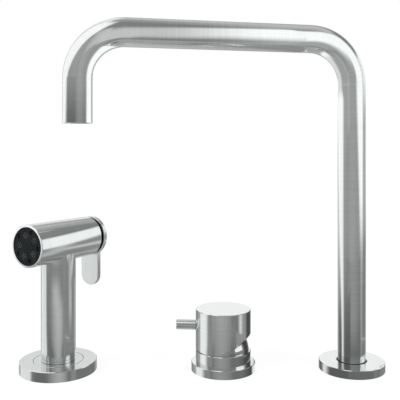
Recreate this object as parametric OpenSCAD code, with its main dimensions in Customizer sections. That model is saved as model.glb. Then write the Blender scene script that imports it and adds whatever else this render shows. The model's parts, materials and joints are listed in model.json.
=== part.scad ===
// Kitchen tap set of three deck units in a row: a swivel spout, a single-lever mixer
// and a pull-out hand spray. Millimetres, +Z up. The origin lies on the worktop, on the
// axis of the spout. The user stands on the -Y side, and the other two units lie along -X.

/* [Layout] */
// Distance from the spout to the mixer
mixer_x = 117; // [90:1:150]
// Distance from the spout to the hand spray
spray_x = 266.5; // [220:0.5:320]
// Thickness of the worktop that the units are clamped to
deck_t = 30; // [10:1:40]

/* [Spout] */
// Outer diameter of the spout tube
tube_d = 25; // [24:0.5:28]
// Wall of the spout tube
tube_wall = 1.5; // [1:0.1:1.8]
// Height of the arm's top above the worktop
spout_h = 310.5; // [240:0.5:360]
// Distance from the swivel axis to the outlet's axis
reach = 245; // [160:1:280]
// Radius of the two bends, at the tube's centre line
bend_r = 40; // [30:1:60]
// Length of the straight downturn below the front bend
downturn_len = 37; // [22:1:110]
// Angle that the arm is turned towards the user
arm_turn = 11; // [-90:1:90]
// Diameter of the spout's flange ring
spout_flange_d = 59; // [54:0.5:70]
// Height of the spout's flange ring
spout_flange_t = 7.5; // [6:0.5:12]
// Radial gap round the tube's foot in the flange ring
foot_ring_gap = 0.8; // [0.5:0.1:1.5]

/* [Spout swivel] */
// Radius of the collar that stands on the worktop under the flange ring
collar_r = 24; // [20:0.5:25]
// Thickness of that collar
collar_t = 3.4; // [2.5:0.1:4]
// Radius of the spigot that the spout turns on
spigot_r = 8; // [7:0.1:8.2]
// Height of the spigot's top above the worktop
spigot_top = 60; // [54:1:80]
// Depth that the spigot is screwed into the base, below the worktop's face
spigot_screw_depth = 12; // [8:0.5:16]
// Radius of the water way through the spigot
spout_way_r = 4.5; // [3:0.1:5]
// Height of the grub screw that keeps the spout on its spigot
keeper_z = 20; // [18:0.5:24]

/* [Aerator] */
// Height of the aerator housing
aerator_h = 13; // [10:0.5:18]
// How far the aerator sits inside the outlet's edge
aerator_recess = 0.5; // [0:0.1:3]
// Distance between the aerator's holes
grid_pitch = 2.2; // [2:0.1:3]
// Radius of the aerator's holes
grid_hole_r = 0.8; // [0.4:0.1:0.9]

/* [Mixer body] */
// Diameter of the mixer's body and cap
mixer_d = 50; // [48:0.5:54]
// Diameter of the mixer's flange
mixer_flange_d = 58; // [56:0.5:70]
// Height of the mixer's flange
mixer_flange_t = 7.5; // [5:0.5:8]
// Height of the body ring's top above the worktop
ring_top = 18; // [17.5:0.1:18.3]
// Height of the point that the lever tilts about
pivot_z = 17.5; // [17.2:0.1:17.8]
// Outer radius of the polished dome
dome_r = 23.2; // [22.8:0.1:23.3]
// Wall of the dome
dome_wall = 1.2; // [0.8:0.1:1.4]
// Radius of the opening in the dome's top
dome_mouth_r = 16.5; // [15:0.1:17]

/* [Lever] */
// Gap between the body ring and the cap
cap_gap = 1; // [0.6:0.1:1.5]
// Height of the cap's top above the worktop
cap_top = 54.5; // [52:0.5:60]
// Gap between the dome and the hollow of the cap
dome_gap = 0.4; // [0.3:0.05:0.6]
// Slope of the cut across the cap
cut_slope = 27; // [26:1:30]
// Distance from the axis to where the cut leaves the cap's lower edge
cut_start = 3.4; // [3:0.1:6]
// Diameter of the lever pin
pin_d = 9; // [7:0.5:10]
// Length of the lever pin outside the cap
pin_len = 17.7; // [12:0.1:40]
// Height of the lever pin's axis
pin_z = 39.2; // [38.5:0.1:40]
// Angle that the lever pin is turned towards the user, from straight left
pin_turn = -5; // [-30:1:30]

/* [Cartridge] */
// Radius of the cartridge housing
cartridge_r = 12.5; // [12.3:0.1:12.8]
// Height of the ledge that the cartridge's flange lies on
ledge_z = 9.5; // [9.5:0.1:9.8]
// Distance of the three water ports from the axis
port_pitch_r = 7; // [6.8:0.1:7]
// Radius of the water ports
port_r = 2.2; // [1.5:0.1:2.3]
// Distance from the pivot down to the spindle's ball
ball_drop = 8; // [7.8:0.1:8.2]
// Width of the square spindle
spindle_w = 6; // [5:0.1:6.2]

/* [Spray] */
// Diameter of the spray's stem
stem_d = 31; // [30:0.5:34]
// Wall of the spray's stem
stem_wall = 1.5; // [1:0.1:2]
// Diameter of the spray's head
head_d = 37; // [36:0.5:42]
// Wall of the spray's head
head_wall = 1.8; // [1.2:0.1:2]
// Height of the head's axis above the worktop
head_z = 116; // [100:0.5:130]
// Distance from the stem's axis to the front rim of the head
head_front = 37.5; // [36:0.5:50]
// Distance from the stem's axis to the rear edge of the head tube
head_rear = 38.2; // [37:0.1:44]
// Angle that the head's front is turned towards the user, from straight left
head_turn = 58; // [0:1:90]
// Diameter of the spray's flange ring
spray_flange_d = 69; // [64:0.5:76]
// Height of the spray's flange ring
spray_flange_t = 9; // [8:0.5:12]
// Diameter of the holder's visible top inside that ring
holder_d = 44; // [42:0.5:46]
// Depth that the spray's spigot stands in its holder, below the worktop
spigot_depth = 22; // [16:1:28]

/* [Spray face] */
// How far the face lies inside the head's front rim
face_recess = 0.5; // [0.2:0.1:1.5]
// Thickness of the face plate
face_t = 4; // [4:0.1:5]
// Number of dimples, and of nozzle clusters between them
face_count = 5; // [3:1:5]
// Distance of the dimples from the face's centre
dimple_pitch_r = 12.8; // [12:0.1:13.5]
// Radius of a dimple
dimple_r = 2; // [1:0.1:2.2]
// Distance of the clusters from the face's centre
cluster_pitch_r = 9.6; // [8.5:0.1:10.2]
// Distance between nozzles in a cluster
nozzle_pitch = 2.1; // [1.6:0.1:2.2]
// Radius of a nozzle
nozzle_r = 0.55; // [0.3:0.05:0.6]

/* [Trigger] */
// Thickness of the trigger plate
plate_t = 4.2; // [3:0.1:5]
// Gap between the head tube and the trigger plate
plate_gap = 3.6; // [3.5:0.1:4.5]
// Width of the tab that the fingers squeeze
tab_w = 21; // [16:0.5:26]
// Length of the tab below the head
tab_drop = 29; // [20:0.5:45]
// Height of the trigger's pin above the head's axis
hinge_h = 11.5; // [10.5:0.1:12]
// How far the trigger's pin lies inside the rear edge of the head tube
hinge_in = 1.7; // [1.6:0.1:2.5]
// Angle that the trigger swings when squeezed
squeeze = 6; // [3:0.5:6]
// Radius of the plunger's rod
rod_r = 2.5; // [1.8:0.1:2.8]

/* [Threads and fits] */
// Outer radius of the three threaded shanks, M33
shank_r = 16.5; // [16:0.1:17]
// Wall radius of the spout's female G 3/8 inlet
inlet_r = 7.475; // [6:0.005:8]
// Wall radius of the mixer's female M8 hose ports
hose_port_r = 3.46; // [3:0.01:3.6]
// Wall radius of the female M15 thread for the spray's hose
spray_thread_r = 6.96; // [6:0.01:7.5]
// Radial gap between pieces that are pressed or screwed together
seat_gap = 0.05; // [0.02:0.01:0.1]
// Radial gap between pieces that turn or slide in each other
run_gap = 0.06; // [0.03:0.01:0.1]
// Gap between pieces that pass each other
move_gap = 0.3; // [0.2:0.05:0.5]

/* [Hidden] */
$fn = 72;

// Colours
steel = [0.74, 0.75, 0.74];
polished = [0.85, 0.86, 0.87];
brass = [0.80, 0.66, 0.36];
black = [0.10, 0.10, 0.11];
rubber = [0.16, 0.16, 0.17];
nylon = [0.90, 0.90, 0.87];
ceramic = [0.93, 0.91, 0.86];

// Edges and overshoots
edge = 0.4;
soft_edge = 0.8;
over = 1;
far = 80;

// Spout
tube_r = tube_d / 2;
bore_r = tube_r - tube_wall;
axis_z = spout_h - tube_r;
bend_z = axis_z - bend_r;
outlet_z = bend_z - downturn_len;
flange_hole_r = tube_r + foot_ring_gap;
thrust_t = 1.4;
foot_z = collar_t + 2 * seat_gap + thrust_t;
sleeve_r = bore_r - seat_gap;
sleeve_wall = 1.5;
sleeve_bore_r = sleeve_r - sleeve_wall;
sleeve_top = spigot_top + 3;
bush_len = 9;
keeper_r = 2.5;
keeper_bite = 0.7;
groove_depth = 1;
ring_groove_z = [spigot_top / 2, spigot_top / 2 + 8];
ring_groove_w = 2.8;
inlet_len = 14;

// Aerator
aerator_r = bore_r - seat_gap;
aerator_wall = 1.8;
aerator_lip = 1.2;
insert_r = aerator_r - aerator_wall - seat_gap;
insert_floor = 1.2;
insert_h = 7;
key_slot_w = 2;
aerator_z = outlet_z + aerator_recess;
aerator_ring_wire = 0.7;
aerator_groove_z = aerator_h - 3;

// Under the worktop
gasket_t = 3;
washer_t = 2;
nut_t = 8;
nut_flats = 41;
clamp_r = 26;
shank_len = deck_t + 28;
shank_chamfer = 1;
clamp_hole_r = shank_r + 0.5;

// Seals under the units
seal_w = 3;
seal_depth = 1.6;
spout_seal_r = collar_r - 3.5;
mixer_seal_r = 22.5;
spray_seal_r = 20;

// Mixer
mixer_r = mixer_d / 2;
neck_r = shank_r + 0.6;
recess_r = dome_r + seat_gap;
recess_z = 14;
nut_thread_r = 17.5;
cavity_floor = -8.4;
hose_port_len = 10;
nut_ring_h = 5;

// Cartridge
housing_wall = 1.2;
housing_bore_r = cartridge_r - housing_wall;
housing_roof = 11.5;
housing_top = 23;
lip_t = 1.2;
lip_r = 8.8;
flange_out = 2;
carrier_r = 10;
neck_bore_r = carrier_r + run_gap;
carrier_z = housing_roof + move_gap;
carrier_top = housing_top - lip_t - move_gap;
base_top = -3.2;
disc_z = 0;
disc_t = 3.2;
moving_disc_r = 7.5;
driver_top = 10.8;
driver_r = 7.4;
ball_r = 2.4;
ball_room = 0.35;
cross_pin_r = 1.5;
cross_pin_len = 18.4;
slot_half = 6.3;
seal_ring_w = 1;
seal_ring_h = 1.4;

// Lever
cap_z = ring_top + cap_gap;
hollow_r = dome_r + dome_gap;
boss_r = 6.5;
boss_z = 33;
spindle_top = 47;
thread_r = 3;
thread_bite = 10.2;
screw_len = 7.9;
hex_r = 1.7;
hex_depth = 3;
pin_chamfer = 0.6;

// Spray
stem_r = stem_d / 2;
head_r = head_d / 2;
head_bore_r = head_r - head_wall;
stem_bore_r = stem_r - stem_wall;
plug_r = head_bore_r - seat_gap;
stem_z = spray_flange_t + 0.2;
holder_r = holder_d / 2;
holder_lip_r = holder_r + 2.5;
holder_lip_t = 4;
liner_r = 13;
liner_bore_r = 11.8;
liner_lip_r = 14.5;
liner_lip_t = 1.5;
spigot_body_r = liner_bore_r - run_gap;
spigot_shoulder = stem_z - move_gap;
swivel_neck_r = 7;
swivel_top = 23;
hose_thread_len = 10;
hose_way_r = 4;
snap_z = 14;
snap_w = 1.4;
swivel_ring_z = 19.25;
swivel_wire = 0.7;
foot_top = 36;
riser_r = 5;
riser_wall = 1;
riser_z = swivel_top + 4;

// Valve in the head, measured along the head's axis with the front at minus
face_x = -head_front + face_recess;
face_back = face_x + face_t;
face_wire = 0.65;
inlet_half = 5;
web_t = 3;
seat_x = -inlet_half - web_t;
chamber_r = 8;
front_chamber_r = 11;
mouth_chamber_r = 14.5;
mouth_chamber_len = 3.5;
seat_r = 3.6;
plug_x = 8;
gland_r = 4.2;
gland_len = 2.6;
rod_wire = 0.8;
valve_seal_t = 1.2;
valve_head_t = 2;
valve_head_r = 6.2;
boss_len = 3.3;
spring_boss_r = 5.5;
spring_r = 4.2;
spring_wire = 0.45;
spring_turns = 6;
riser_socket = 4.4;

// Trigger
plate_x = head_rear + plate_gap;
hinge_x = head_rear - hinge_in;
ear_in = 3.2;
ear_t = 2.4;
ear_r = 2.6;
hinge_pin_r = 1.2;
hinge_pin_len = 2 * (sqrt(plug_r^2 - (hinge_h + hinge_pin_r)^2) - seat_gap);
pocket_down = ear_r + 1;
pocket_up = ear_r + 0.4;
tab_end_h = -head_r - tab_drop + tab_w / 2;

// A full turn of an outline of [radius, height] points.
module turned(outline) {
  rotate_extrude() polygon(outline);
}

// A plain ring between two radii and two heights.
module ring(r_in, r_out, z_low, z_high) {
  turned([[r_in, z_low], [r_out, z_low], [r_out, z_high], [r_in, z_high]]);
}

// A ring whose upper outer edge is broken.
module edged_ring(r_in, r_out, z_low, z_high, cut = edge) {
  turned([
    [r_in, z_low], [r_out, z_low], [r_out, z_high - cut],
    [r_out - cut, z_high], [r_in, z_high]
  ]);
}

// A round-section ring.
module o_ring(mean_r, wire_r, z) {
  translate([0, 0, z]) rotate_extrude() translate([mean_r, 0]) circle(wire_r);
}

// Turns children's +Z to the rear of the spray's head, +X in its own frame.
module along_head() {
  translate([0, 0, head_z]) rotate([0, 90, 0]) children();
}

module at_spout() {
  rotate([0, 0, arm_turn]) children();
}

module at_mixer() {
  translate([-mixer_x, 0, 0]) children();
}

module at_lever() {
  at_mixer() rotate([0, 0, pin_turn]) children();
}

module at_holder() {
  translate([-spray_x, 0, 0]) children();
}

module at_spray() {
  at_holder() rotate([0, 0, head_turn]) children();
}

// The three water ports' places round the mixer's axis.
module at_ports() {
  for (a = [90, 210, 330]) rotate([0, 0, a]) translate([port_pitch_r, 0, 0]) children();
}

// A threaded shank's outer form, drawn at its outer thread radius.
module shank(r_in, z_high) {
  turned([
    [r_in, -shank_len], [shank_r - shank_chamfer, -shank_len],
    [shank_r, -shank_len + shank_chamfer], [shank_r, z_high], [r_in, z_high]
  ]);
}

module seal_groove(mean_r) {
  ring(mean_r - seal_w / 2 - seat_gap, mean_r + seal_w / 2 + seat_gap, -over, seal_depth);
}

module base_seal(mean_r) {
  color(rubber) ring(mean_r - seal_w / 2, mean_r + seal_w / 2, 0, seal_depth - seat_gap);
}

// The spout's route as a solid rod: leg, bend, arm, bend and downturn.
module spout_rod(r, low, out) {
  translate([0, 0, low]) cylinder(r = r, h = bend_z - low);
  translate([-bend_r, 0, bend_z]) rotate([90, 0, 0])
    rotate_extrude(angle = 90) translate([bend_r, 0]) circle(r);
  translate([-bend_r, 0, axis_z]) rotate([0, -90, 0]) cylinder(r = r, h = reach - 2 * bend_r);
  translate([bend_r - reach, 0, bend_z]) rotate([90, 0, 0]) rotate([0, 0, 90])
    rotate_extrude(angle = 90) translate([bend_r, 0]) circle(r);
  translate([-reach, 0, out]) cylinder(r = r, h = bend_z - out);
}

// The grub screw's hole or shaft, from an inner radius outwards, on the far side of the leg.
module keeper_shaft(r, from, to) {
  translate([0, 0, keeper_z]) rotate([-90, 0, 0]) translate([0, 0, from]) cylinder(r = r, h = to - from);
}

module spout_tube() {
  color(steel) at_spout() difference() {
    spout_rod(tube_r, foot_z, outlet_z);
    spout_rod(bore_r, foot_z - over, outlet_z - over);
    keeper_shaft(keeper_r + seat_gap, spigot_r, tube_r + over);
  }
}

module foot_sleeve() {
  color(brass) at_spout() difference() {
    ring(sleeve_bore_r, sleeve_r, foot_z, sleeve_top);
    keeper_shaft(keeper_r + seat_gap, 0, tube_r);
  }
}

// Carries the tube's foot on the collar and guides its lower end.
module thrust_bush() {
  thrust_z = collar_t + seat_gap;
  color(nylon) at_spout() turned([
    [spigot_r + run_gap, thrust_z], [tube_r - edge, thrust_z],
    [tube_r - edge, foot_z - seat_gap], [sleeve_bore_r - seat_gap, foot_z - seat_gap],
    [sleeve_bore_r - seat_gap, foot_z + bush_len], [spigot_r + run_gap, foot_z + bush_len]
  ]);
}

module guide_bush() {
  color(nylon) at_spout()
    ring(spigot_r + run_gap, sleeve_bore_r - seat_gap, spigot_top - bush_len - over, spigot_top - over);
}

module spout_screw() {
  color(steel) at_spout() difference() {
    keeper_shaft(keeper_r, spigot_r - keeper_bite, tube_r - edge / 2);
    translate([0, 0, keeper_z]) rotate([-90, 0, 0]) translate([0, 0, tube_r - hex_depth])
      cylinder(r = hex_r, h = hex_depth + over, $fn = 6);
  }
}

// Water piece of the spout: threaded shank and the collar that stands on the worktop.
module spout_base() {
  color(brass) difference() {
    union() {
      shank(spout_way_r, 0);
      ring(spout_way_r, shank_r, -over, 0);
      ring(spout_way_r, collar_r, 0, collar_t);
    }
    translate([0, 0, -shank_len - over]) cylinder(r = inlet_r, h = inlet_len + over);
    translate([0, 0, -spigot_screw_depth]) cylinder(r = spigot_r + seat_gap, h = far);
    seal_groove(spout_seal_r);
  }
}

// Turned tube that the spout swivels on, screwed into the base.
module spout_spigot() {
  color(brass) difference() {
    turned([
      [spout_way_r, seat_gap - spigot_screw_depth], [spigot_r, seat_gap - spigot_screw_depth],
      [spigot_r, spigot_top - soft_edge], [spigot_r - soft_edge, spigot_top], [spout_way_r, spigot_top]
    ]);
    ring(spigot_r - groove_depth, spigot_r + over,
         keeper_z - keeper_r - move_gap, keeper_z + keeper_r + move_gap);
    for (z = ring_groove_z)
      ring(spigot_r - groove_depth, spigot_r + over, z - ring_groove_w / 2, z + ring_groove_w / 2);
  }
}

module spout_o_rings() {
  low_r = spigot_r - groove_depth + seat_gap / 2;
  high_r = sleeve_bore_r - seat_gap;
  color(rubber) for (z = ring_groove_z) o_ring((low_r + high_r) / 2, (high_r - low_r) / 2, z);
}

// Trim ring over the collar. The tube's foot stands in its hole with a dark gap all round.
module spout_flange() {
  flange_r = spout_flange_d / 2;
  color(steel) turned([
    [collar_r + seat_gap, 0], [flange_r, 0], [flange_r, spout_flange_t - edge],
    [flange_r - edge, spout_flange_t], [flange_hole_r + edge, spout_flange_t],
    [flange_hole_r, spout_flange_t - edge], [flange_hole_r, collar_t + seat_gap],
    [collar_r + seat_gap, collar_t + seat_gap]
  ]);
}

module spout_base_seal() {
  base_seal(spout_seal_r);
}

module at_outlet() {
  at_spout() translate([-reach, 0, aerator_z]) children();
}

// Screwed into the outlet. Four slots in its lower edge take the key.
module aerator_housing() {
  inner_r = aerator_r - aerator_wall;
  color(steel) at_outlet() difference() {
    turned([
      [inner_r - aerator_lip, 0], [aerator_r, 0], [aerator_r, aerator_h],
      [inner_r, aerator_h], [inner_r, aerator_lip], [inner_r - aerator_lip, aerator_lip]
    ]);
    for (a = [0, 90])
      rotate([0, 0, a]) translate([-far / 2, -key_slot_w / 2, -over]) cube([far, key_slot_w, over + aerator_lip / 2]);
    ring(aerator_r - 2 * aerator_ring_wire, aerator_r + over,
         aerator_groove_z - aerator_ring_wire - seat_gap, aerator_groove_z + aerator_ring_wire + seat_gap);
  }
}

// Cup whose floor is drilled in rows, with each second row shifted by half a pitch.
module aerator_insert() {
  row_h = grid_pitch * sin(60);
  rows = floor((insert_r - aerator_lip - grid_hole_r) / row_h);
  reach_r = insert_r - aerator_lip - 2 * grid_hole_r;
  color(nylon) at_outlet() translate([0, 0, aerator_lip + seat_gap]) difference() {
    cylinder(r = insert_r, h = insert_h);
    translate([0, 0, insert_floor]) cylinder(r = insert_r - aerator_lip, h = insert_h);
    for (j = [-rows:rows], i = [-rows:rows]) {
      x = (i + (abs(j) % 2) / 2) * grid_pitch;
      y = j * row_h;
      if (norm([x, y]) < reach_r) translate([x, y, -over]) cylinder(r = grid_hole_r, h = insert_floor + 2 * over);
    }
  }
}

module aerator_seal() {
  color(rubber) at_outlet()
    o_ring(aerator_r - aerator_ring_wire + seat_gap / 2, aerator_ring_wire, aerator_groove_z);
}

// Turned body of the mixer: ring, neck through the flange and threaded shank in one piece.
module mixer_body() {
  color(steel) at_mixer() difference() {
    union() {
      shank(0, 0);
      translate([0, 0, -over]) cylinder(r = shank_r, h = over);
      cylinder(r = neck_r, h = mixer_flange_t);
      turned([
        [0, mixer_flange_t], [mixer_r, mixer_flange_t], [mixer_r, ring_top - edge],
        [mixer_r - edge, ring_top], [0, ring_top]
      ]);
    }
    translate([0, 0, cavity_floor]) cylinder(r = cartridge_r + seat_gap, h = far);
    translate([0, 0, ledge_z]) cylinder(r = nut_thread_r + seat_gap, h = far);
    translate([0, 0, recess_z]) cylinder(r = recess_r, h = far);
    at_ports() {
      translate([0, 0, -shank_len - over]) cylinder(r = hose_port_r, h = hose_port_len + over);
      translate([0, 0, -shank_len]) cylinder(r = port_r, h = far);
    }
  }
}

module mixer_flange() {
  color(steel) at_mixer() difference() {
    edged_ring(neck_r + seat_gap, mixer_flange_d / 2, 0, mixer_flange_t);
    seal_groove(mixer_seal_r);
  }
}

module mixer_base_seal() {
  at_mixer() base_seal(mixer_seal_r);
}

// Polished half shell that closes the body under the cap, open at the top for the spindle.
module dome_cover() {
  skirt_z = recess_z + seat_gap;
  color(polished) at_mixer() difference() {
    union() {
      translate([0, 0, pivot_z]) sphere(dome_r);
      translate([0, 0, skirt_z]) cylinder(r = dome_r, h = pivot_z - skirt_z);
    }
    translate([0, 0, pivot_z]) sphere(dome_r - dome_wall);
    translate([0, 0, skirt_z - over]) cylinder(r = dome_r - dome_wall, h = pivot_z - skirt_z + over);
    translate([0, 0, skirt_z - far]) cylinder(r = far, h = far);
    translate([0, 0, pivot_z]) cylinder(r = dome_mouth_r, h = far);
  }
}

module cartridge_housing() {
  color(black) at_mixer() turned([
    [housing_bore_r, cavity_floor + seat_gap], [cartridge_r, cavity_floor + seat_gap],
    [cartridge_r, ledge_z], [cartridge_r + flange_out, ledge_z],
    [cartridge_r + flange_out, housing_roof], [cartridge_r, housing_roof],
    [cartridge_r, housing_top], [lip_r, housing_top], [lip_r, housing_top - lip_t],
    [neck_bore_r, housing_top - lip_t], [neck_bore_r, housing_roof], [housing_bore_r, housing_roof]
  ]);
}

module cartridge_base() {
  low = cavity_floor + seat_gap;
  color(nylon) at_mixer() difference() {
    translate([0, 0, low]) cylinder(r = housing_bore_r - seat_gap, h = base_top - low);
    at_ports() {
      translate([0, 0, low - over]) cylinder(r = port_r, h = far);
      translate([0, 0, low - over]) cylinder(r = port_r + seal_ring_w + seat_gap, h = seal_ring_h + over);
    }
  }
}

module port_seals() {
  low = cavity_floor + seat_gap;
  color(rubber) at_mixer() at_ports() ring(port_r, port_r + seal_ring_w, low, low + seal_ring_h - seat_gap);
}

module fixed_disc() {
  color(ceramic) at_mixer() difference() {
    translate([0, 0, base_top]) cylinder(r = housing_bore_r - seat_gap, h = disc_z - base_top);
    at_ports() translate([0, 0, base_top - over]) cylinder(r = port_r, h = far);
  }
}

// Threaded ring that holds the cartridge down, with four slots for its key.
module cartridge_nut() {
  low = housing_roof + seat_gap;
  color(brass) at_mixer() difference() {
    ring(cartridge_r + run_gap, nut_thread_r, low, low + nut_ring_h);
    for (a = [0, 90])
      rotate([0, 0, a]) translate([-far / 2, -key_slot_w / 2, low + nut_ring_h - over]) cube([far, key_slot_w, far]);
  }
}

// Slides over the ports under the driver, with a mixing pocket in its lower face.
module moving_disc() {
  low = disc_z + seat_gap;
  color(ceramic) at_lever() difference() {
    translate([0, 0, low]) cylinder(r = moving_disc_r, h = disc_t - low);
    translate([0, 0, low - over]) cylinder(r = moving_disc_r / 2, h = over + disc_t / 2);
  }
}

// Carries the ceramic disc with the spindle's ball, which stands in its socket.
module disc_driver() {
  socket_floor = pivot_z - ball_drop - ball_r - move_gap;
  color(nylon) at_lever() difference() {
    translate([0, 0, disc_t]) cylinder(r = driver_r, h = driver_top - disc_t);
    translate([0, 0, socket_floor]) cylinder(r = ball_r + ball_room, h = far);
  }
}

module cross_pin_shaft(r, len) {
  translate([0, len / 2, pivot_z]) rotate([90, 0, 0]) cylinder(r = r, h = len);
}

// Turns in the housing's neck. Its slot lets the spindle tilt in one plane only.
module cartridge_carrier() {
  slot_w = spindle_w + 2 * run_gap;
  color(nylon) at_lever() difference() {
    translate([0, 0, carrier_z]) cylinder(r = carrier_r, h = carrier_top - carrier_z);
    translate([-slot_half, -slot_w / 2, carrier_z - over]) cube([2 * slot_half, slot_w, far]);
    cross_pin_shaft(cross_pin_r + seat_gap / 2, far);
  }
}

module cross_pin() {
  color(steel) at_lever() cross_pin_shaft(cross_pin_r, cross_pin_len);
}

// Square stem on the cross pin, with a ball below and the cap on top.
module cartridge_spindle() {
  ball_z = pivot_z - ball_drop;
  waist_z = pivot_z - ball_drop / 2;
  color(brass) at_lever() difference() {
    union() {
      translate([-spindle_w / 2, -spindle_w / 2, waist_z]) cube([spindle_w, spindle_w, spindle_top - waist_z]);
      translate([0, 0, ball_z]) cylinder(r = ball_r * 0.8, h = waist_z - ball_z);
      translate([0, 0, ball_z]) sphere(ball_r);
    }
    cross_pin_shaft(cross_pin_r + run_gap, far);
  }
}

// A shaft along the lever pin's axis, outwards from the mixer's axis.
module pin_shaft(r, from, to) {
  translate([-from, 0, pin_z]) rotate([0, -90, 0]) cylinder(r = r, h = to - from);
}

// Round cap, hollowed over the dome and cut away slantwise on the side without the pin.
module lever_cap() {
  socket_w = spindle_w + 2 * seat_gap;
  color(steel) at_lever() difference() {
    union() {
      difference() {
        edged_ring(0, mixer_r, cap_z, cap_top);
        translate([0, 0, pivot_z]) sphere(hollow_r);
        translate([-cut_start, 0, cap_z]) rotate([0, -cut_slope, 0])
          translate([-far, -far, -far]) cube([2 * far, 2 * far, far]);
      }
      translate([0, 0, boss_z]) cylinder(r = boss_r, h = pivot_z + hollow_r - boss_z + edge);
    }
    translate([-socket_w / 2, -socket_w / 2, boss_z - over]) cube([socket_w, socket_w, spindle_top + 2 * over - boss_z]);
    pin_shaft(thread_r + seat_gap, spindle_w / 2, mixer_r + over);
  }
}

module lever_pin() {
  pin_r = pin_d / 2;
  root = mixer_r + seat_gap / 2;
  color(steel) at_lever() {
    translate([0, 0, pin_z]) rotate([0, -90, 0]) turned([
      [0, mixer_r - thread_bite], [thread_r, mixer_r - thread_bite], [thread_r, root],
      [pin_r, root], [pin_r, mixer_r + pin_len - pin_chamfer],
      [pin_r - pin_chamfer, mixer_r + pin_len], [0, mixer_r + pin_len]
    ]);
  }
}

// Grub screw behind the pin, which clamps the cap to the spindle.
module lever_screw() {
  tip = spindle_w / 2 + seat_gap;
  color(steel) at_lever() difference() {
    pin_shaft(thread_r, tip, tip + screw_len);
    translate([-tip - screw_len - over, 0, pin_z]) rotate([0, 90, 0])
      cylinder(r = hex_r, h = hex_depth + over, $fn = 6);
  }
}

// Outer trim ring of the spray's holder.
module spray_flange() {
  flange_r = spray_flange_d / 2;
  hole_r = holder_r + 2 * seat_gap;
  color(steel) at_holder() turned([
    [holder_lip_r + seat_gap, 0], [flange_r, 0], [flange_r, spray_flange_t - edge],
    [flange_r - edge, spray_flange_t], [hole_r + edge / 2, spray_flange_t],
    [hole_r, spray_flange_t - edge / 2], [hole_r, holder_lip_t + seat_gap],
    [holder_lip_r + seat_gap, holder_lip_t + seat_gap]
  ]);
}

// Socket that the spray stands in, with its threaded shank and a bore for the hose.
module spray_holder() {
  bore_r = liner_r + seat_gap;
  color(steel) at_holder() difference() {
    union() {
      shank(bore_r, 0);
      turned([
        [bore_r, -over], [shank_r, -over], [shank_r, 0], [holder_lip_r, 0],
        [holder_lip_r, holder_lip_t], [holder_r, holder_lip_t],
        [holder_r, spray_flange_t - edge / 2], [holder_r - edge / 2, spray_flange_t],
        [bore_r, spray_flange_t]
      ]);
    }
    translate([0, 0, spray_flange_t - liner_lip_t - 2 * edge]) cylinder(r = liner_lip_r + seat_gap, h = far);
    seal_groove(spray_seal_r);
  }
}

module holder_liner() {
  lip_z = spray_flange_t - liner_lip_t - 2 * edge + seat_gap;
  color(nylon) at_holder() turned([
    [liner_bore_r, -spigot_depth - 4], [liner_r, -spigot_depth - 4], [liner_r, lip_z],
    [liner_lip_r, lip_z], [liner_lip_r, lip_z + liner_lip_t],
    [liner_bore_r + edge, lip_z + liner_lip_t], [liner_bore_r, lip_z + liner_lip_t - edge]
  ]);
}

module spray_base_seal() {
  at_holder() base_seal(spray_seal_r);
}

// Spigot at the spray's foot. The hose screws in from below, and the stem turns on its neck.
module hose_connector() {
  color(brass) at_spray() difference() {
    turned([
      [0, -spigot_depth], [spigot_body_r - soft_edge, -spigot_depth],
      [spigot_body_r, -spigot_depth + soft_edge], [spigot_body_r, spigot_shoulder],
      [swivel_neck_r, spigot_shoulder], [swivel_neck_r, swivel_top - edge],
      [swivel_neck_r - edge, swivel_top], [0, swivel_top]
    ]);
    translate([0, 0, -spigot_depth - over]) cylinder(r = spray_thread_r, h = hose_thread_len + over);
    translate([0, 0, -spigot_depth]) cylinder(r = hose_way_r, h = far);
    ring(swivel_neck_r - groove_depth, swivel_neck_r + over, snap_z, snap_z + snap_w);
    ring(swivel_neck_r + run_gap - 2 * swivel_wire - seat_gap, swivel_neck_r + over,
         swivel_ring_z - swivel_wire - seat_gap, swivel_ring_z + swivel_wire + seat_gap);
  }
}

// Open snap ring that holds the stem's foot on the connector.
module swivel_ring() {
  color(steel) at_spray() translate([0, 0, snap_z + seat_gap]) rotate([0, 0, 10])
    rotate_extrude(angle = 340)
      translate([swivel_neck_r - groove_depth + seat_gap, 0]) square([2 * groove_depth - seat_gap, snap_w - 2 * seat_gap]);
}

module swivel_o_ring() {
  color(rubber) at_spray() o_ring(swivel_neck_r + run_gap / 2 - swivel_wire, swivel_wire, swivel_ring_z);
}

// Stem and head of the spray: two tubes welded into a T.
module spray_body() {
  color(steel) at_spray() difference() {
    union() {
      translate([0, 0, stem_z]) cylinder(r = stem_r, h = head_z - stem_z);
      along_head() turned([
        [0, -head_front], [head_r - edge, -head_front], [head_r, -head_front + edge],
        [head_r, head_rear - edge], [head_r - edge, head_rear], [0, head_rear]
      ]);
    }
    along_head() translate([0, 0, -far]) cylinder(r = head_bore_r, h = 2 * far);
    translate([0, 0, stem_z - over]) cylinder(r = stem_bore_r, h = head_z - stem_z + over);
  }
}

// Brass insert in the stem's foot: swivel bore below, riser's socket above.
module stem_foot() {
  bore_r = swivel_neck_r + run_gap;
  color(brass) at_spray() difference() {
    translate([0, 0, stem_z]) cylinder(r = stem_bore_r - seat_gap, h = foot_top - stem_z);
    translate([0, 0, stem_z - over]) cylinder(r = bore_r, h = swivel_top + over / 2 + over - stem_z);
    translate([0, 0, stem_z]) cylinder(r = hose_way_r, h = far);
    translate([0, 0, riser_z]) cylinder(r = riser_r + seat_gap, h = far);
    ring(hose_way_r, swivel_neck_r + groove_depth + 4 * seat_gap, snap_z - seat_gap, snap_z + snap_w + seat_gap);
  }
}

module riser_tube() {
  top = head_z - plug_r + riser_socket - seat_gap;
  color(nylon) at_spray() ring(riser_r - riser_wall, riser_r, riser_z + seat_gap, top);
}

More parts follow.
